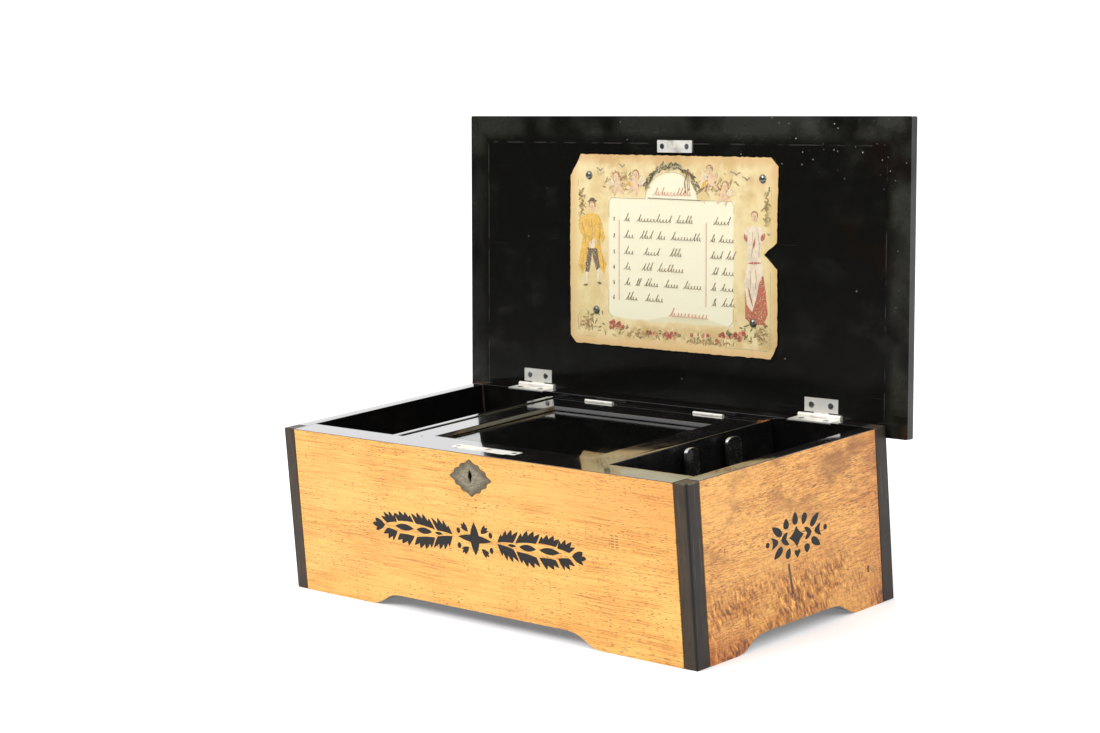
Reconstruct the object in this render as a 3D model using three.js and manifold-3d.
// A lever-wound cylinder music box in a veneered case, with its lid standing open.
// Millimetres, +Z up. While it is built, x runs from the left end of the case, y from its
// front face and z from the floor. The last lines put the origin under the middle of it all.
import * as THREE from 'three';
import { mergeVertices } from 'three/addons/utils/BufferGeometryUtils.js';
import Module from 'manifold-3d';

const wasm = await Module();
wasm.setup();

// ---- driving dimensions -------------------------------------------------------------
const CASE = { width: 400, depth: 201.6, height: 121.1 };
const GAP = 0.3; // between pieces that touch on the bench
const WALL = { front: 20, rear: 10.7, side: 11.5 };
const POST = { x: 11.5, y: 12 };
const FOOT = { frontWidth: 83, frontSweep: 33, sideWidth: 38, sideSweep: 28, rise: 9.6 };
const FLOOR = { bottom: 12, top: 20 };
const PARTITION = { thickness: 6, left: 92, right: 302, top: 119.4 };

const LID = { overhangX: 16, length: 207.7, tail: 10, board: 6, corner: 1.2, openDegrees: 95.5 };
const LID_AXIS = { y: CASE.depth + 2.3, z: CASE.height + 0.7 };
const LID_FACE = 0.8; // inner face of the lid above the hinge axis when it is shut
const MOULDING = { inset: 3, width: 26, lowEdge: 1.2, height: 6.5 };
const LID_HINGES = [59, 341];
const KNUCKLE = 1.9;
const HINGE_PIN = 1;
const LID_LEAF = { half: 15, length: 12.5, thickness: 1, knuckleHalf: 6.5 };
const CASE_LEAF = { half: 19, thickness: 0.9, knuckleFrom: 6.8 };
const TUNE_CARD = { thickness: 0.6 };
const TUNE_CARD_CORNERS = [
  [96.3, 42.2], [102, 36.4], [295.6, 36.6], [301.6, 46.5], [301.2, 100.4], [288.3, 110.2],
  [300.6, 119], [301.6, 172.5], [294.5, 178.8], [107, 179.2], [96.3, 163]];

const FRAME = { x0: 98.6, x1: 301.4, y0: 20.6, y1: 182.9, bottom: 112.6, top: 118.6 };
const SIGHT = { x0: 124, x1: 276, y0: 42, y1: 158, chamfer: 2.2 };
const GLASS_AXIS = { y: 184.7, z: 118.9 };
const GLASS_HINGES = [144.5, 253.5];
const GLASS_KNUCKLE = 1.4;
const GLASS_PIN = 0.7;
const GLASS_LEAF = { half: 14, length: 5.6, thickness: 0.8, knuckleHalf: 4.8 };
const RAIL_LEAF = { half: 14, length: 8, thickness: 0.7, knuckleFrom: 5.1 };
const PANE = { lap: 3.7, thickness: 2.3 };
const RAIL = { y0: 186.5, bottom: 96, top: 118.6 };

const LOCK = { x0: 177, x1: 225, y0: 9.5, y1: 19.9, bottom: 86, slotX: 203, staple: 16.5 };
const SELVEDGE = { overlap: 8, setBack: 1.5, thickness: 0.9 };
const BOLT = { halfWidth: 1.1, left: 19, right: 2.8, bottom: 113.4, top: 116.6 };
const STAPLE = { length: 10.6, half: 2.5, thickness: 2.4, eye: 5.1 };
const KEYHOLE = { below: 3.6, above: 6, bulge: 4.2, widest: 1.2 };
const ESCUTCHEON = { x: 200, z: 104, halfWidth: 20.8, halfHeight: 12.9, thickness: 0.9 };

// Bridges stand across the bedplate; each spans y0 to y1 and is drilled for the shafts it bears.
const BRIDGES = {
  barrel: { x0: 101.5, x1: 105.5, y0: 84, y1: 116, top: 66 },
  centre: { x0: 140, x1: 144, y0: 84, y1: 144, top: 68 },
  right: { x0: 262, x1: 265, y0: 70, y1: 144, top: 66 },
  governor: { x0: 284, x1: 287, y0: 74, y1: 112, top: 65 },
};
const BEDPLATE = { x0: 104, x1: 298, y0: 44, y1: 160, bottom: 20.3, top: 27 };
const DECK = BEDPLATE.top + GAP; // what stands on the bedplate starts here
const SHAFT_Z = 56;
const BARREL_Y = 100;
const CYLINDER_Y = 128;
const BARREL = { radius: 21, wall: 1.5, x0: 110, x1: 132, bore: 5.3 };
const ARBOR = 5;
const CYLINDER = { radius: 20, x0: 150, x1: 248, wall: 3, arbor: 3 };
const GREAT_WHEEL = { teeth: 44, module: 1, x0: 131.5, x1: 136 };
const PINION = { teeth: 12, module: 1, x0: 130.5, x1: 137 };
const CYLINDER_WHEEL = { teeth: 60, module: 0.8, x0: 256, x1: 259 };
const FIRST_PINION = { teeth: 10, module: 0.8, x0: 254.8, x1: 260.2 };
const FIRST_WHEEL = { teeth: 30, module: 0.75, x0: 268, x1: 270.5 };
const SECOND_PINION = { teeth: 10, module: 0.75, x0: 266.6, x1: 272 };
const WORM_WHEEL = { teeth: 24, radius: 9, root: 7.8, x0: 275.4, x1: 278.6 };
const GOVERNOR_Y = { first: 100, second: 85 };
const GOVERNOR_ARBOR = { radius: 1.5, first: 253.5, second: 260.5, end: 288.5 };
const COMB = { teeth: 36, slot: 0.7, back: 68, root: 88, clear: 0.8, thickness: 1.8 };
const COMB_BASE = { front: 62, back: 94, foot: 6, step: 9, seatFront: 66, seatBack: 86 };
const WORM = { x: 277, radius: 2.6, core: 1.5, bottom: 46, top: 65, starts: 4, pitch: 3.1 };
const WORM_Y = GOVERNOR_Y.second - WORM_WHEEL.radius - WORM.radius - 0.35;
const FLY = { reach: 10, bottom: 67.5, top: 76.5, thickness: 0.8 };

const RATCHET = { teeth: 24, tip: 14, root: 12.4, x0: 84, x1: 88 };
const WINDING = { arm: 75, restDegrees: 146, x0: 75, x1: 79, knob: 7 };
const CLICK = { x0: 84.3, x1: 87.7 };
const LEVERS = [
  { name: 'change_repeat_lever', y: 99.5, width: 12.6, top: 117.2 },
  { name: 'play_stop_lever', y: 142, width: 14.6, top: 116.8 },
];
const LEVER = { x0: 312.8, x1: 315.4, pivotZ: 60, stud: 2.2, waist: 4.5, neck: 20, shoulder: 34 };

// ---- looks ---------------------------------------------------------------------------
const look = (color, roughness, metalness) => ({ color, roughness, metalness });
const VENEER = look(0xd79a4a, 0.42, 0);
const SIDE_VENEER = look(0xb9803f, 0.42, 0);
const EBONISED = look(0x1d1915, 0.35, 0);
const LACQUER = look(0x17161a, 0.3, 0);
const INNER_WOOD = look(0x2a1d14, 0.6, 0);
const NICKEL = look(0xc9c9c6, 0.22, 1);
const STEEL = look(0x9a9c9e, 0.3, 1);
const BRASS = look(0xb9923f, 0.3, 1);
const IRON = look(0x3a3d3c, 0.55, 0.6);
const BONE = look(0xa59d86, 0.5, 0);
const CARD = look(0xe4dcc0, 0.8, 0);
const GLASS = look(0xc9d4d0, 0.05, 0);

function piece(name, geometry, finish) {
  const mesh = new THREE.Mesh(geometry, new THREE.MeshStandardMaterial(finish));
  mesh.name = name;
  return mesh;
}

// ---- solids --------------------------------------------------------------------------
function toSolid(geometry) {
  const bare = geometry.clone();
  bare.deleteAttribute('normal');
  bare.deleteAttribute('uv');
  const merged = mergeVertices(bare, 1e-4);
  const corners = merged.index.array;
  const kept = [];
  for (let i = 0; i < corners.length; i += 3) {
    const [a, b, c] = [corners[i], corners[i + 1], corners[i + 2]];
    if (a !== b && b !== c && c !== a) kept.push(a, b, c);
  }
  const vertProperties = new Float32Array(merged.attributes.position.array);
  const triVerts = new Uint32Array(kept);
  return new wasm.Manifold(new wasm.Mesh({ numProp: 3, vertProperties, triVerts }));
}

function toGeometry(solid) {
  const mesh = solid.getMesh();
  const geometry = new THREE.BufferGeometry();
  geometry.setAttribute('position', new THREE.BufferAttribute(mesh.vertProperties, 3));
  geometry.setIndex(new THREE.BufferAttribute(mesh.triVerts, 1));
  return geometry;
}

function fuse(first, ...others) {
  return toGeometry(others.reduce((sum, next) => sum.add(toSolid(next)), toSolid(first)));
}

function carve(first, ...tools) {
  return toGeometry(tools.reduce((left, tool) => left.subtract(toSolid(tool)), toSolid(first)));
}

function block(x0, x1, y0, y1, z0, z1) {
  const geometry = new THREE.BoxGeometry(x1 - x0, y1 - y0, z1 - z0);
  return geometry.translate((x0 + x1) / 2, (y0 + y1) / 2, (z0 + z1) / 2);
}

function outline(points) {
  return new THREE.Shape(points.map(([u, v]) => new THREE.Vector2(u, v)));
}

function rectangle(u0, u1, v0, v1) {
  return outline([[u0, v0], [u1, v0], [u1, v1], [u0, v1]]);
}

function extruded(shape, depth, curveSegments = 6) {
  return new THREE.ExtrudeGeometry(shape, { depth, bevelEnabled: false, curveSegments });
}

// An outline drawn in (y, z) and given a thickness along x.
function acrossX(shape, x0, x1) {
  const turn = new THREE.Matrix4().makeBasis(
    new THREE.Vector3(0, 1, 0), new THREE.Vector3(0, 0, 1), new THREE.Vector3(1, 0, 0));
  return extruded(shape, x1 - x0).applyMatrix4(turn).translate(x0, 0, 0);
}

// An outline drawn in (x, z) and given a thickness along y.
function acrossY(shape, y0, y1) {
  return extruded(shape, y1 - y0).rotateX(Math.PI / 2).translate(0, y1, 0);
}

// An outline drawn in (x, y) and given a thickness along z.
function acrossZ(shape, z0, z1) {
  return extruded(shape, z1 - z0).translate(0, 0, z0);
}

function rodX(radius, x0, x1, y, z, sides = 20) {
  const rod = new THREE.CylinderGeometry(radius, radius, x1 - x0, sides);
  return rod.rotateZ(-Math.PI / 2).translate((x0 + x1) / 2, y, z);
}

function rodY(radius, y0, y1, x, z, sides = 16) {
  return new THREE.CylinderGeometry(radius, radius, y1 - y0, sides).translate(x, (y0 + y1) / 2, z);
}

function rodZ(radius, z0, z1, x, y, sides = 16) {
  const rod = new THREE.CylinderGeometry(radius, radius, z1 - z0, sides);
  return rod.rotateX(Math.PI / 2).translate(x, y, (z0 + z1) / 2);
}

// A profile of [radius, x] corners turned about the x axis through (y, z).
function turnedX(profile, y, z, sides = 40) {
  const points = profile.map(([radius, x]) => new THREE.Vector2(radius, x));
  const lathe = new THREE.LatheGeometry(points, sides);
  const solid = toSolid(lathe.rotateZ(-Math.PI / 2).translate(0, y, z));
  return toGeometry(solid);
}

// A spur gear whose tooth centres start at angle `turn`, measured from +y towards +z.
function gear({ teeth, module, x0, x1 }, y, z, turn = 0) {
  const pitchRadius = (teeth * module) / 2;
  const root = pitchRadius - 1.05 * module;
  const tip = pitchRadius + 0.7 * module;
  const step = (2 * Math.PI) / teeth;
  const points = [];
  for (let i = 0; i < teeth; i += 1) {
    const centre = turn + i * step;
    const corners = [[root, -0.27], [tip, -0.1], [tip, 0.1], [root, 0.27]];
    for (const [radius, share] of corners) {
      const angle = centre + share * step;
      points.push([y + radius * Math.cos(angle), z + radius * Math.sin(angle)]);
    }
  }
  return acrossX(outline(points), x0, x1);
}

// ---- the case ------------------------------------------------------------------------
// The lower edge of a board between two feet: flat feet joined by a shallow swept arch.
function archedBoard(u0, u1, footEnd, farFoot, sweep) {
  const half = sweep / 2;
  const shape = new THREE.Shape();
  shape.moveTo(u0, 0);
  shape.lineTo(footEnd, 0);
  shape.bezierCurveTo(footEnd + half, 0, footEnd + half, FOOT.rise, footEnd + sweep, FOOT.rise);
  shape.lineTo(farFoot - sweep, FOOT.rise);
  shape.bezierCurveTo(farFoot - half, FOOT.rise, farFoot - half, 0, farFoot, 0);
  shape.lineTo(u1, 0);
  shape.lineTo(u1, CASE.height);
  shape.lineTo(u0, CASE.height);
  shape.closePath();
  return shape;
}

function longBoardOutline() {
  const end = POST.x + GAP;
  const farFoot = CASE.width - FOOT.frontWidth;
  return archedBoard(end, CASE.width - end, FOOT.frontWidth, farFoot, FOOT.frontSweep);
}

// A scalloped lozenge with lobes along each edge, drawn in (x, z).
function escutcheonOutline(grow) {
  const { x, z, halfWidth, halfHeight } = ESCUTCHEON;
  const points = [];
  const count = 64;
  for (let i = 0; i < count; i += 1) {
    const angle = (i / count) * 2 * Math.PI;
    const c = Math.cos(angle);
    const s = Math.sin(angle);
    const lozenge = 1 / (Math.abs(c) ** 1.25 + Math.abs(s) ** 1.25) ** 0.8;
    const lobe = 1 + 0.055 * Math.cos(12 * angle);
    const reach = (lozenge * lobe) / 1.055;
    points.push([x + (halfWidth * reach + grow) * c, z + (halfHeight * reach + grow) * s]);
  }
  return outline(points);
}

// An almond-shaped keyhole in the middle of the escutcheon.
function keyhole(y0, y1) {
  const { x, z } = ESCUTCHEON;
  const shape = new THREE.Shape();
  const { below, above, bulge, widest } = KEYHOLE;
  shape.moveTo(x, z - below);
  shape.quadraticCurveTo(x + bulge, z + widest, x, z + above);
  shape.quadraticCurveTo(x - bulge, z + widest, x, z - below);
  return acrossY(shape, y0, y1);
}

function frontBoard() {
  const board = acrossY(longBoardOutline(), 0, WALL.front);
  const { x0, x1, y0, bottom } = LOCK;
  const behind = WALL.front + 1;
  const above = CASE.height + 1;
  const side = SELVEDGE.overlap + GAP;
  return carve(board,
    block(x0 - GAP, x1 + GAP, y0 - GAP, behind, bottom - GAP, above),
    block(x0 - side, x1 + side, y0 + SELVEDGE.setBack - GAP, behind,
      CASE.height - SELVEDGE.thickness - GAP, above),
    acrossY(escutcheonOutline(GAP), -1, ESCUTCHEON.thickness + 0.1),
    keyhole(-1, y0 + 1));
}

function rearBoard() {
  const board = acrossY(longBoardOutline(), CASE.depth - WALL.rear, CASE.depth);
  const half = CASE_LEAF.half + GAP;
  const mortises = LID_HINGES.map((x) => block(
    x - half, x + half, CASE.depth - WALL.rear - 1, CASE.depth + 1,
    CASE.height - CASE_LEAF.thickness - GAP, CASE.height + 1));
  return carve(board, ...mortises);
}

function sideBoard(x0) {
  const end = POST.y + GAP;
  const farFoot = CASE.depth - FOOT.sideWidth;
  const shape = archedBoard(end, CASE.depth - end, FOOT.sideWidth, farFoot, FOOT.sideSweep);
  return acrossX(shape, x0, x0 + WALL.side);
}

function casePieces() {
  const { width, depth, height } = CASE;
  const inner = { x0: POST.x + GAP, y0: WALL.front + GAP, y1: depth - WALL.rear - GAP };
  const right = width - POST.x;
  const rear = depth - POST.y;
  const mid = { x0: PARTITION.left + PARTITION.thickness + GAP, x1: PARTITION.right - GAP };
  const wall = (x) => block(
    x, x + PARTITION.thickness, inner.y0, inner.y1, FLOOR.top + GAP, PARTITION.top);
  const arborHole = rodX(ARBOR + 2, 90, 100, BARREL_Y, SHAFT_Z);
  return [
    piece('front_board', frontBoard(), VENEER),
    piece('rear_board', rearBoard(), SIDE_VENEER),
    piece('left_side_board', sideBoard(0), SIDE_VENEER),
    piece('right_side_board', sideBoard(width - WALL.side), SIDE_VENEER),
    piece('bottom_board', block(inner.x0, width - inner.x0, inner.y0, inner.y1,
      FLOOR.bottom, FLOOR.top), INNER_WOOD),
    piece('corner_post_front_left', block(0, POST.x, 0, POST.y, 0, height), EBONISED),
    piece('corner_post_front_right', block(right, width, 0, POST.y, 0, height), EBONISED),
    piece('corner_post_rear_left', block(0, POST.x, rear, depth, 0, height), EBONISED),
    piece('corner_post_rear_right', block(right, width, rear, depth, 0, height), EBONISED),
    piece('left_partition', carve(wall(PARTITION.left), arborHole), LACQUER),
    piece('right_partition', wall(PARTITION.right), LACQUER),
    piece('hinge_rail', block(mid.x0, mid.x1, RAIL.y0, inner.y1, RAIL.bottom, RAIL.top), LACQUER),
    piece('glass_lid_rest', block(mid.x0, mid.x1, inner.y0, inner.y0 + 4, 104,
      FRAME.bottom - GAP), LACQUER),
    piece('escutcheon', carve(acrossY(escutcheonOutline(0), -0.2, ESCUTCHEON.thickness - 0.2),
      keyhole(-1, 2)), BONE),
  ];
}

// ---- the lock ------------------------------------------------------------------------
function lockCase() {
  const { x0, x1, y0, y1, bottom, slotX } = LOCK;
  const top = CASE.height;
  const body = block(x0, x1, y0, y1, bottom, top - 0.5);
  const selvedge = block(x0 - SELVEDGE.overlap, x1 + SELVEDGE.overlap, y0 + SELVEDGE.setBack, y1,
    top - SELVEDGE.thickness, top);
  const channel = block(slotX - 21, slotX + 7, y0 + 4.1, y1 - 0.5, 110.6, 119.2);
  const slot = block(slotX - 2.5, slotX + 2.5, y0 + 4.1, y1 - 0.5, 118, top + 1);
  const keyPost = rodY(1.2, 2, y0 + 1, ESCUTCHEON.x, ESCUTCHEON.z - 1.2);
  return carve(fuse(body, selvedge, keyPost), channel, slot);
}

function lockBolt() {
  const { halfWidth, left, right, bottom, top } = BOLT;
  const { slotX, staple } = LOCK;
  return block(slotX - left, slotX - right, staple - halfWidth, staple + halfWidth, bottom, top);
}

// ---- the lid: built shut, in a group whose origin is on the hinge axis ----------------
// Distances up the lid from its hinge axis run along -y.
function roundedRectangle(x0, x1, y0, y1, r) {
  const shape = new THREE.Shape();
  shape.moveTo(x0 + r, y0);
  shape.lineTo(x1 - r, y0);
  shape.absarc(x1 - r, y0 + r, r, -Math.PI / 2, 0);
  shape.lineTo(x1, y1 - r);
  shape.absarc(x1 - r, y1 - r, r, 0, Math.PI / 2);
  shape.lineTo(x0 + r, y1);
  shape.absarc(x0 + r, y1 - r, r, Math.PI / 2, Math.PI);
  shape.lineTo(x0, y0 + r);
  shape.absarc(x0 + r, y0 + r, r, Math.PI, 1.5 * Math.PI);
  return shape;
}

const lidEdges = {
  x0: -LID.overhangX, x1: CASE.width + LID.overhangX, y0: -LID.length, y1: LID.tail,
};

function lidBoard() {
  const { x0, x1, y0, y1 } = lidEdges;
  const board = acrossZ(roundedRectangle(x0, x1, y0, y1, LID.corner), LID_FACE, LID_FACE + LID.board);
  const half = LID_LEAF.half + GAP;
  const deep = LID_LEAF.thickness + GAP;
  const clear = CASE_LEAF.half + 0.5;
  const recesses = LID_HINGES.flatMap((x) => [
    block(x - half, x + half, -LID_LEAF.length - 0.4, 0, LID_FACE - 1, LID_FACE + deep),
    block(x - clear, x + clear, -KNUCKLE - 0.8, KNUCKLE + 1, LID_FACE - 1, KNUCKLE + 1),
  ]);
  return carve(board, ...recesses);
}

// The moulding's profile across the lid: it sweeps up from both edges to a flat top.
function mouldingSection(from, to) {
  const { width, lowEdge, height } = MOULDING;
  const flat = width - 12;
  const shape = new THREE.Shape();
  shape.moveTo(from, 0);
  shape.lineTo(to, 0);
  shape.lineTo(to, lowEdge);
  shape.bezierCurveTo(to - 8, lowEdge + 1.4, to - flat + 5, height, to - flat, height);
  shape.lineTo(from + flat, height);
  shape.bezierCurveTo(from + flat - 5, height, from + 8, lowEdge + 1.4, from, lowEdge);
  shape.closePath();
  return shape;
}

// Where the two swept sections cross, their lower surface makes the mitred corners.
function lidMoulding() {
  const { inset, width, height } = MOULDING;
  const x0 = lidEdges.x0 + inset;
  const x1 = lidEdges.x1 - inset;
  const y0 = lidEdges.y0 + inset;
  const y1 = lidEdges.y1 - inset;
  const along = toSolid(acrossX(mouldingSection(y0, y1), x0, x1));
  const over = toSolid(acrossY(mouldingSection(x0, x1), y0, y1));
  const well = toSolid(block(x0 + width, x1 - width, y0 + width, y1 - width, -1, height + 1));
  const frame = toGeometry(along.intersect(over).subtract(well));
  return frame.translate(0, 0, LID_FACE + LID.board + GAP);
}

function lidTopPanel() {
  const inset = MOULDING.inset + MOULDING.width + GAP;
  const base = LID_FACE + LID.board + GAP;
  const { x0, x1, y0, y1 } = lidEdges;
  return block(x0 + inset, x1 - inset, y0 + inset, y1 - inset, base, base + 4.5);
}

// The tune card: a rectangle with clipped corners and one notch torn in its right edge.
function tuneCard() {
  const shape = outline(TUNE_CARD_CORNERS.map(([x, up]) => [x, -up]).reverse());
  return acrossZ(shape, LID_FACE - GAP - TUNE_CARD.thickness, LID_FACE - GAP);
}

function strikePlate() {
  const face = LID_FACE - GAP;
  const stapleY = LOCK.staple - LID_AXIS.y;
  const plate = block(LOCK.slotX - 17.5, LOCK.slotX + 16.5, stapleY - 2.8, stapleY + 6.2, face - 1, face);
  const { length, half, thickness, eye } = STAPLE;
  const hook = block(LOCK.slotX - thickness / 2, LOCK.slotX + thickness / 2, stapleY - half,
    stapleY + half, face - length, face - 0.5);
  const opening = block(LOCK.slotX - 2, LOCK.slotX + 2, stapleY - half + 0.8, stapleY + half - 0.8,
    face - length + 1, face - length + 1 + eye);
  return carve(fuse(plate, hook), opening);
}

// ---- hinges --------------------------------------------------------------------------
// The lid leaf holds the middle knuckle, in the lid's own group.
function lidLeaf(x) {
  const { half, length, thickness, knuckleHalf } = LID_LEAF;
  const back = LID_FACE + thickness;
  const leaf = block(x - half, x + half, -length, -KNUCKLE - 0.7, LID_FACE, back);
  const tongue = block(x - knuckleHalf, x + knuckleHalf, -KNUCKLE - 1, 0, LID_FACE, back);
  const knuckle = rodX(KNUCKLE, x - knuckleHalf, x + knuckleHalf, 0, 0, 16);
  return carve(fuse(leaf, tongue, knuckle), rodX(HINGE_PIN + GAP, x - 8, x + 8, 0, 0, 12));
}

// The case leaf holds the two outer knuckles and the pin.
function caseLeaf(x) {
  const { y, z } = LID_AXIS;
  const top = CASE.height;
  const { half, thickness, knuckleFrom } = CASE_LEAF;
  const low = top - thickness;
  const leaf = block(x - half, x + half, CASE.depth - WALL.rear + GAP, y - KNUCKLE - GAP, low, top);
  const parts = [rodX(HINGE_PIN, x - half, x + half, y, z, 12)];
  for (const side of [-1, 1]) {
    const from = Math.min(side * knuckleFrom, side * half);
    const to = Math.max(side * knuckleFrom, side * half);
    parts.push(rodX(KNUCKLE, x + from, x + to, y, z, 16));
    parts.push(block(x + from, x + to, y - KNUCKLE - 0.5, y, low, top));
  }
  return fuse(leaf, ...parts);
}

// The frame leaf is in the glass lid's group, whose origin is on its own hinge axis.
function glassLeaf(x) {
  const back = FRAME.y1 - GLASS_AXIS.y + GAP;
  const { half, length, thickness, knuckleHalf } = GLASS_LEAF;
  const leaf = block(x - half, x + half, back, back + thickness, -length, 0);
  const tongue = block(x - knuckleHalf, x + knuckleHalf, back, 0, -thickness / 2, thickness / 2);
  const knuckle = rodX(GLASS_KNUCKLE, x - knuckleHalf, x + knuckleHalf, 0, 0, 12);
  const clear = [-1, 1].map((side) => rodX(GLASS_KNUCKLE + GAP, x + side * 10 - 5, x + side * 10 + 5,
    0, 0, 16));
  return carve(fuse(carve(leaf, ...clear), tongue, knuckle),
    rodX(GLASS_PIN + GAP, x - 6, x + 6, 0, 0, 12));
}

function railLeaf(x) {
  const { y, z } = GLASS_AXIS;
  const back = RAIL.y0 - GAP;
  const { half, length, thickness, knuckleFrom } = RAIL_LEAF;
  const leaf = block(x - half, x + half, back - thickness, back, z - length, z);
  const clear = rodX(GLASS_KNUCKLE + GAP, x - 5, x + 5, y, z, 16);
  const parts = [rodX(GLASS_PIN, x - half, x + half, y, z, 12)];
  for (const side of [-1, 1]) {
    const from = Math.min(side * knuckleFrom, side * half);
    const to = Math.max(side * knuckleFrom, side * half);
    parts.push(rodX(GLASS_KNUCKLE, x + from, x + to, y, z, 12));
  }
  return fuse(carve(leaf, clear), ...parts);
}

// ---- the glazed inner lid ------------------------------------------------------------
function glassFrame() {
  const { x0, x1, y0, y1, bottom, top } = FRAME;
  const rebate = 4;
  const seat = bottom + 3.4;
  const frame = carve(block(x0, x1, y0, y1, bottom, top),
    block(SIGHT.x0, SIGHT.x1, SIGHT.y0, SIGHT.y1, bottom - 1, top + 1),
    block(SIGHT.x0 - rebate, SIGHT.x1 + rebate, SIGHT.y0 - rebate, SIGHT.y1 + rebate,
      bottom - 1, seat),
    sightChamfer());
  return frame.translate(0, -GLASS_AXIS.y, -GLASS_AXIS.z);
}

// A shallow funnel that takes the sharp edge off the opening above the glass.
function sightChamfer() {
  const { x0, x1, y0, y1, chamfer } = SIGHT;
  const funnel = new THREE.ExtrudeGeometry(rectangle(x0, x1, y0, y1), {
    depth: 1, bevelEnabled: true, bevelSegments: 1, bevelSize: chamfer, bevelThickness: chamfer,
  });
  return funnel.translate(0, 0, FRAME.top);
}

function glassPane() {
  const { lap, thickness } = PANE;
  const under = FRAME.bottom + 0.8;
  const pane = block(SIGHT.x0 - lap, SIGHT.x1 + lap, SIGHT.y0 - lap, SIGHT.y1 + lap,
    under, under + thickness);
  return pane.translate(0, -GLASS_AXIS.y, -GLASS_AXIS.z);
}

// ---- the winding side ----------------------------------------------------------------
// A bar between two points of the (y, z) plane, round at its ends.
function bar(y0, z0, r0, y1, z1, r1) {
  const angle = Math.atan2(z1 - z0, y1 - y0);
  const shape = new THREE.Shape();
  shape.absarc(y0, z0, r0, angle + Math.PI / 2, angle + 1.5 * Math.PI);
  shape.absarc(y1, z1, r1, angle - Math.PI / 2, angle + Math.PI / 2);
  shape.closePath();
  return shape;
}

const restAngle = THREE.MathUtils.degToRad(WINDING.restDegrees);
const armEnd = {
  y: BARREL_Y + WINDING.arm * Math.cos(restAngle),
  z: SHAFT_Z + WINDING.arm * Math.sin(restAngle),
};
const LEVER_CLICK_REACH = 25;
const leverClickPivot = {
  y: BARREL_Y + LEVER_CLICK_REACH * Math.cos(restAngle),
  z: SHAFT_Z + LEVER_CLICK_REACH * Math.sin(restAngle),
};
const holdingClickPivot = { y: BARREL_Y + 24, z: SHAFT_Z - 14 };

function windingLever() {
  const { x0, x1 } = WINDING;
  const arm = acrossX(bar(BARREL_Y, SHAFT_Z, 10, armEnd.y, armEnd.z, 4.5), x0, x1);
  const hub = rodX(9, x1 - 1, x1 + 3, BARREL_Y, SHAFT_Z, 28);
  const stud = rodX(2, x1 - 1, CLICK.x1, leverClickPivot.y, leverClickPivot.z, 12);
  const bore = rodX(ARBOR + GAP, x0 - 1, x1 + 5, BARREL_Y, SHAFT_Z, 28);
  return carve(fuse(arm, hub, stud), bore);
}

// A turned grip that stands out to the left of the arm's end.
function windingKnob() {
  const r = WINDING.knob;
  const base = WINDING.x0 - GAP;
  const profile = [[0, base - 19], [r * 0.7, base - 18], [r, base - 13], [r * 0.85, base - 8],
    [r * 0.5, base - 3], [r * 0.62, base], [0, base]];
  return turnedX(profile, armEnd.y, armEnd.z, 20);
}

function ratchetWheel() {
  const points = [];
  const step = (2 * Math.PI) / RATCHET.teeth;
  for (let i = 0; i < RATCHET.teeth; i += 1) {
    const angle = i * step;
    for (const [radius, turn] of [[RATCHET.root, angle], [RATCHET.tip, angle + 0.1 * step]]) {
      points.push([BARREL_Y + radius * Math.cos(turn), SHAFT_Z + radius * Math.sin(turn)]);
    }
  }
  const wheel = acrossX(outline(points), RATCHET.x0, RATCHET.x1);
  return carve(wheel, rodX(ARBOR + GAP, RATCHET.x0 - 1, RATCHET.x1 + 1, BARREL_Y, SHAFT_Z, 24));
}

// A click is a small bar from its pivot to a tip just clear of the ratchet teeth.
function click(pivot, tipAngle) {
  const reach = RATCHET.tip + 1.3;
  const tipY = BARREL_Y + reach * Math.cos(tipAngle);
  const tipZ = SHAFT_Z + reach * Math.sin(tipAngle);
  const body = acrossX(bar(pivot.y, pivot.z, 4, tipY, tipZ, 0.8), CLICK.x0, CLICK.x1);
  return carve(body, rodX(2 + GAP, CLICK.x0 - 1, CLICK.x1 + 1, pivot.y, pivot.z, 14));
}

// The plate on the partition carries the stud of the holding click.
function windingPlate() {
  const left = PARTITION.left - GAP;
  const plate = block(left - 2, left, BARREL_Y - 18, BARREL_Y + 32, SHAFT_Z - 22, SHAFT_Z + 18);
  const stud = rodX(2, CLICK.x0, left - 1, holdingClickPivot.y, holdingClickPivot.z, 12);
  return carve(fuse(plate, stud), rodX(ARBOR + 0.4, left - 5, left + 1, BARREL_Y, SHAFT_Z, 24));
}

function barrelDrum() {
  const { radius, wall, x0, x1, bore } = BARREL;
  const drum = turnedX([[bore, x1 - 2], [radius - wall, x1 - 2], [radius - wall, x0], [radius, x0],
    [radius, x1], [bore, x1], [bore, x1 - 2]], BARREL_Y, SHAFT_Z, 32);
  const wheel = carve(gear(GREAT_WHEEL, BARREL_Y, SHAFT_Z),
    rodX(bore + 0.2, GREAT_WHEEL.x0 - 1, GREAT_WHEEL.x1 + 1, BARREL_Y, SHAFT_Z, 24));
  return fuse(drum, wheel);
}

function barrelCover() {
  const { radius, x0, bore } = BARREL;
  return turnedX([[bore, x0 - 2.3], [radius - 2, x0 - 2.3], [radius, x0 - 1.3], [radius, x0 - GAP],
    [bore, x0 - GAP], [bore, x0 - 2.3]], BARREL_Y, SHAFT_Z, 32);
}

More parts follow.
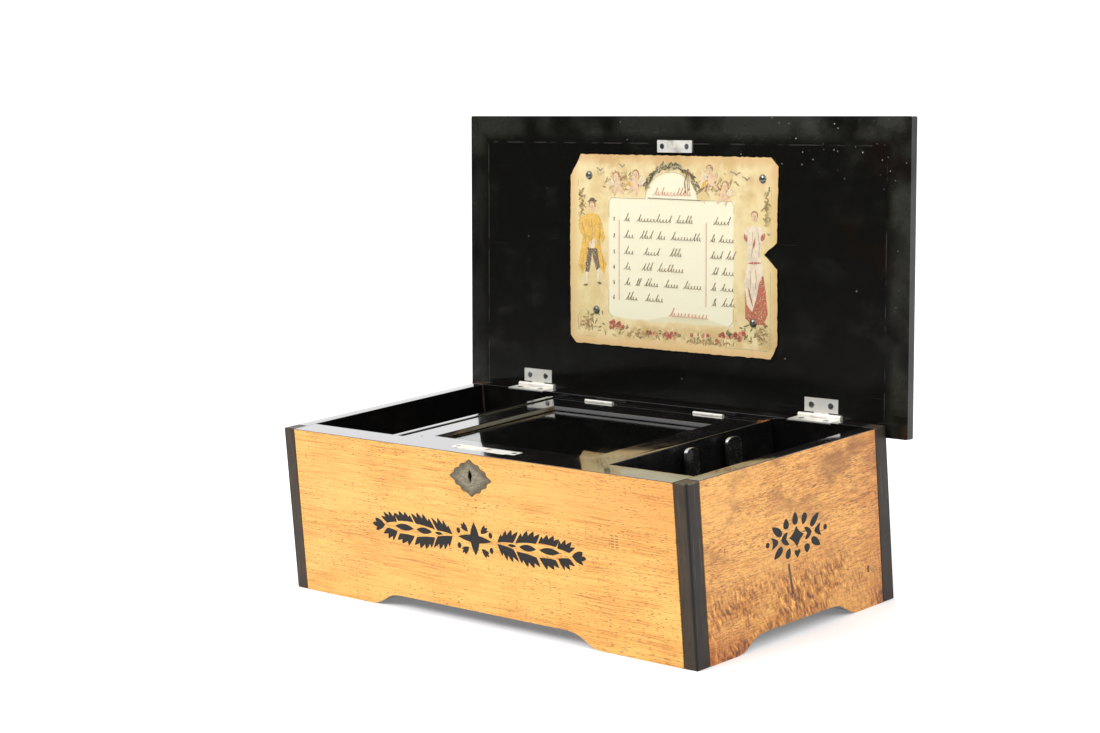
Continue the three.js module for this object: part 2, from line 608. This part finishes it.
// The mainspring: a flat strip wound from near the arbor out to the barrel wall.
function mainspring() {
  const turns = 5;
  const steps = 18 * turns;
  const inner = 8;
  const outer = BARREL.radius - BARREL.wall - 1.2;
  const strip = 0.6;
  const edge = [];
  for (const side of [0, 1]) {
    for (let i = 0; i <= steps; i += 1) {
      const at = side ? steps - i : i;
      const angle = (at / steps) * turns * 2 * Math.PI;
      const radius = inner + ((outer - inner) * at) / steps + side * strip;
      edge.push([BARREL_Y + radius * Math.cos(angle), SHAFT_Z + radius * Math.sin(angle)]);
    }
  }
  return acrossX(outline(edge), BARREL.x0 + 0.8, BARREL.x1 - 2.8);
}

// ---- bedplate and bridges ------------------------------------------------------------
// A bridge is an upright plate with a round shoulder over each bearing.
function bridge({ x0, x1, y0, y1, top }, ...holes) {
  const shoulder = 6;
  const shape = outline([[y0, DECK], [y1, DECK], [y1, top - shoulder], [y1 - shoulder, top],
    [y0 + shoulder, top], [y0, top - shoulder]]);
  const drills = holes.map(([y, radius]) => rodX(radius, x0 - 1, x1 + 1, y, SHAFT_Z, 24));
  return carve(acrossX(shape, x0, x1), ...drills);
}

function combBase() {
  const { front, back, foot, step, seatFront, seatBack } = COMB_BASE;
  const seat = SHAFT_Z - 0.4;
  const shape = outline([[front, DECK], [back, DECK], [back, DECK + foot], [seatBack, DECK + step],
    [seatBack, seat], [seatFront, seat]]);
  return acrossX(shape, CYLINDER.x0 + 1, CYLINDER.x1 + 1);
}

// The comb: a steel plate cut into teeth that reach towards the cylinder.
function comb() {
  const { teeth, slot, back, root, clear, thickness } = COMB;
  const [x0, x1] = [CYLINDER.x0 + 2, CYLINDER.x1];
  const tip = CYLINDER_Y - CYLINDER.radius - clear;
  const pitch = (x1 - x0) / teeth;
  const points = [[x1, back], [x1, tip]];
  for (let i = teeth - 1; i > 0; i -= 1) {
    const x = x0 + i * pitch;
    points.push([x + slot / 2, tip], [x + slot / 2, root], [x - slot / 2, root], [x - slot / 2, tip]);
  }
  points.push([x0, tip], [x0, back]);
  return acrossZ(outline(points), SHAFT_Z, SHAFT_Z + thickness);
}

function endlessScrewCock() {
  const [x0, x1] = [WORM.x - 4, WORM.x + 4];
  const post = WORM_Y - 13;
  const front = WORM_Y + 4;
  const armTop = FLY.top + 6;
  const shape = outline([[post - 4, DECK], [front, DECK], [front, DECK + 4], [post, DECK + 4],
    [post, armTop - 3.5], [front, armTop - 3.5], [front, armTop], [post - 4, armTop]]);
  return carve(acrossX(shape, x0, x1), rodZ(1.2, DECK - 1, armTop + 1, WORM.x, WORM_Y, 12));
}

function mechanismPieces() {
  const bedplate = block(BEDPLATE.x0, BEDPLATE.x1, BEDPLATE.y0, BEDPLATE.y1, BEDPLATE.bottom,
    BEDPLATE.top);
  const arborHole = ARBOR + 0.4;
  const cylinderHole = CYLINDER.arbor + 0.4;
  const pivotHole = GOVERNOR_ARBOR.radius + 0.4;
  const { first, second } = GOVERNOR_Y;
  return [
    piece('bedplate', bedplate, IRON),
    piece('barrel_bridge', bridge(BRIDGES.barrel, [BARREL_Y, arborHole]), BRASS),
    piece('centre_bridge', bridge(BRIDGES.centre, [BARREL_Y, arborHole],
      [CYLINDER_Y, cylinderHole]), BRASS),
    piece('right_bridge', bridge(BRIDGES.right, [CYLINDER_Y, cylinderHole], [first, pivotHole],
      [second, pivotHole]), BRASS),
    piece('governor_plate', bridge(BRIDGES.governor, [first, pivotHole], [second, pivotHole]), BRASS),
    piece('endless_screw_cock', endlessScrewCock(), BRASS),
    piece('comb_base', combBase(), BRASS),
    piece('comb', comb(), STEEL),
    piece('winding_plate', windingPlate(), BRASS),
  ];
}

// ---- turning pieces ------------------------------------------------------------------
function cylinder() {
  const { radius, x0, x1, wall, arbor } = CYLINDER;
  const bore = arbor + GAP;
  return turnedX([[bore, x0], [radius, x0], [radius, x1], [radius - wall, x1],
    [radius - wall, x0 + 4], [bore, x0 + 4], [bore, x0]], CYLINDER_Y, SHAFT_Z, 48);
}

function cylinderArbor() {
  const pinion = gear(PINION, CYLINDER_Y, SHAFT_Z, Math.PI / PINION.teeth);
  return fuse(rodX(CYLINDER.arbor, PINION.x0, 267, CYLINDER_Y, SHAFT_Z), pinion);
}

function cylinderWheel() {
  const { x0, x1 } = CYLINDER_WHEEL;
  return carve(gear(CYLINDER_WHEEL, CYLINDER_Y, SHAFT_Z),
    rodX(CYLINDER.arbor + GAP, x0 - 1, x1 + 1, CYLINDER_Y, SHAFT_Z));
}

function firstGovernorWheel() {
  const y = GOVERNOR_Y.first;
  const { radius, first, end } = GOVERNOR_ARBOR;
  return fuse(rodX(radius, first, end, y, SHAFT_Z, 12),
    gear(FIRST_PINION, y, SHAFT_Z, Math.PI / FIRST_PINION.teeth), gear(FIRST_WHEEL, y, SHAFT_Z));
}

function secondGovernorWheel() {
  const y = GOVERNOR_Y.second;
  const { teeth, radius, root, x0, x1 } = WORM_WHEEL;
  const step = (2 * Math.PI) / teeth;
  const points = [];
  for (let i = 0; i < teeth; i += 1) {
    for (const [reach, share] of [[root, -0.3], [radius, -0.12], [radius, 0.12], [root, 0.3]]) {
      const angle = (i + share) * step;
      points.push([y + reach * Math.cos(angle), SHAFT_Z + reach * Math.sin(angle)]);
    }
  }
  return fuse(rodX(GOVERNOR_ARBOR.radius, GOVERNOR_ARBOR.second, GOVERNOR_ARBOR.end, y, SHAFT_Z, 12),
    gear(SECOND_PINION, y, SHAFT_Z, Math.PI / SECOND_PINION.teeth),
    acrossX(outline(points), x0, x1));
}

// The screw: a section with one lobe for each start, twisted evenly along its length.
function screwThread() {
  const { x, radius, core, bottom, top, starts, pitch } = WORM;
  const corners = [];
  for (let start = 0; start < starts; start += 1) {
    for (const [reach, share] of [[core, -0.32], [radius, -0.1], [radius, 0.1], [core, 0.32]]) {
      const angle = ((start + share) / starts) * 2 * Math.PI;
      corners.push([reach * Math.cos(angle), reach * Math.sin(angle)]);
    }
  }
  const screw = new THREE.ExtrudeGeometry(outline(corners), {
    depth: top - bottom, steps: 16, bevelEnabled: false,
  });
  const place = screw.attributes.position;
  const point = new THREE.Vector3();
  const upright = new THREE.Vector3(0, 0, 1);
  for (let i = 0; i < place.count; i += 1) {
    point.fromBufferAttribute(place, i);
    point.applyAxisAngle(upright, (point.z / (pitch * starts)) * 2 * Math.PI);
    place.setXYZ(i, point.x, point.y, point.z);
  }
  return screw.translate(x, WORM_Y, bottom);
}

function endlessScrew() {
  const { reach, bottom, top, thickness } = FLY;
  const core = rodZ(WORM.core - 0.1, DECK + 5, top + 1, WORM.x, WORM_Y, 10);
  const pivot = rodZ(0.85, DECK + 1, top + 5, WORM.x, WORM_Y, 8);
  const blades = block(WORM.x - reach, WORM.x + reach, WORM_Y - thickness / 2,
    WORM_Y + thickness / 2, bottom, top);
  return fuse(core, pivot, blades, screwThread());
}

// ---- the two control levers ----------------------------------------------------------
// A flat blade with a broad rounded top that narrows to its pivot.
function controlLever({ y, width, top }) {
  const half = width / 2;
  const { waist } = LEVER;
  const neck = LEVER.pivotZ + LEVER.neck;
  const shoulder = LEVER.pivotZ + LEVER.shoulder;
  const shape = new THREE.Shape();
  shape.moveTo(y + waist, LEVER.pivotZ);
  shape.lineTo(y + waist, neck);
  shape.lineTo(y + half, shoulder);
  shape.lineTo(y + half, top - half * 0.6);
  shape.quadraticCurveTo(y + half, top, y, top);
  shape.quadraticCurveTo(y - half, top, y - half, top - half * 0.6);
  shape.lineTo(y - half, shoulder);
  shape.lineTo(y - waist, neck);
  shape.lineTo(y - waist, LEVER.pivotZ);
  shape.absarc(y, LEVER.pivotZ, waist, Math.PI, 2 * Math.PI);
  const hole = rodX(LEVER.stud + GAP, LEVER.x0 - 1, LEVER.x1 + 1, y, LEVER.pivotZ, 16);
  return carve(acrossX(shape, LEVER.x0, LEVER.x1), hole);
}

function controlBracket() {
  const x0 = PARTITION.right + PARTITION.thickness + GAP;
  const plate = block(x0, x0 + 2.6, 84, 158, LEVER.pivotZ - 14, LEVER.pivotZ + 10);
  const studs = LEVERS.map(({ y }) => rodX(LEVER.stud, x0 + 2, LEVER.x1 + 1.6, y, LEVER.pivotZ, 16));
  return fuse(plate, ...studs);
}

// ---- assembly ------------------------------------------------------------------------
const musicBox = new THREE.Group();
musicBox.add(...casePieces(), ...mechanismPieces());
musicBox.add(
  piece('lock_case', lockCase(), NICKEL),
  piece('lock_bolt', lockBolt(), STEEL),
  piece('winding_lever', windingLever(), STEEL),
  piece('winding_knob', windingKnob(), EBONISED),
  piece('lever_click', click(leverClickPivot, restAngle - 0.8), STEEL),
  piece('holding_click', click(holdingClickPivot, -1.33), STEEL),
  piece('winding_arbor', rodX(ARBOR, 71, 147, BARREL_Y, SHAFT_Z, 24), STEEL),
  piece('ratchet_wheel', ratchetWheel(), STEEL),
  piece('spring_barrel', barrelDrum(), BRASS),
  piece('barrel_cover', barrelCover(), BRASS),
  piece('mainspring', mainspring(), STEEL),
  piece('cylinder', cylinder(), BRASS),
  piece('cylinder_arbor', cylinderArbor(), STEEL),
  piece('cylinder_wheel', cylinderWheel(), BRASS),
  piece('governor_wheel_1', firstGovernorWheel(), BRASS),
  piece('governor_wheel_2', secondGovernorWheel(), BRASS),
  piece('endless_screw', endlessScrew(), STEEL),
  piece('control_bracket', controlBracket(), BRASS),
  ...LEVERS.map((lever) => piece(lever.name, controlLever(lever), NICKEL)),
  piece('lid_hinge_case_leaf_left', caseLeaf(LID_HINGES[0]), NICKEL),
  piece('lid_hinge_case_leaf_right', caseLeaf(LID_HINGES[1]), NICKEL),
  piece('glass_hinge_rail_leaf_left', railLeaf(GLASS_HINGES[0]), NICKEL),
  piece('glass_hinge_rail_leaf_right', railLeaf(GLASS_HINGES[1]), NICKEL),
);

const glassLid = new THREE.Group();
glassLid.position.set(0, GLASS_AXIS.y, GLASS_AXIS.z);
glassLid.add(
  piece('glass_frame', glassFrame(), LACQUER),
  piece('glass_pane', glassPane(), GLASS),
  piece('glass_hinge_leaf_left', glassLeaf(GLASS_HINGES[0]), NICKEL),
  piece('glass_hinge_leaf_right', glassLeaf(GLASS_HINGES[1]), NICKEL),
);
musicBox.add(glassLid);

const lid = new THREE.Group();
lid.position.set(0, LID_AXIS.y, LID_AXIS.z);
lid.rotation.x = -THREE.MathUtils.degToRad(LID.openDegrees);
lid.add(
  piece('lid_board', lidBoard(), LACQUER),
  piece('lid_moulding', lidMoulding(), EBONISED),
  piece('lid_top_panel', lidTopPanel(), VENEER),
  piece('tune_card', tuneCard(), CARD),
  piece('strike_plate', strikePlate(), NICKEL),
  piece('lid_hinge_leaf_left', lidLeaf(LID_HINGES[0]), NICKEL),
  piece('lid_hinge_leaf_right', lidLeaf(LID_HINGES[1]), NICKEL),
);
musicBox.add(lid);

// The origin: on the floor, under the middle of the box with its lid open.
const extent = new THREE.Box3().setFromObject(musicBox, true);
const middle = extent.getCenter(new THREE.Vector3());
musicBox.position.set(-middle.x, -middle.y, -extent.min.z);

export default musicBox;
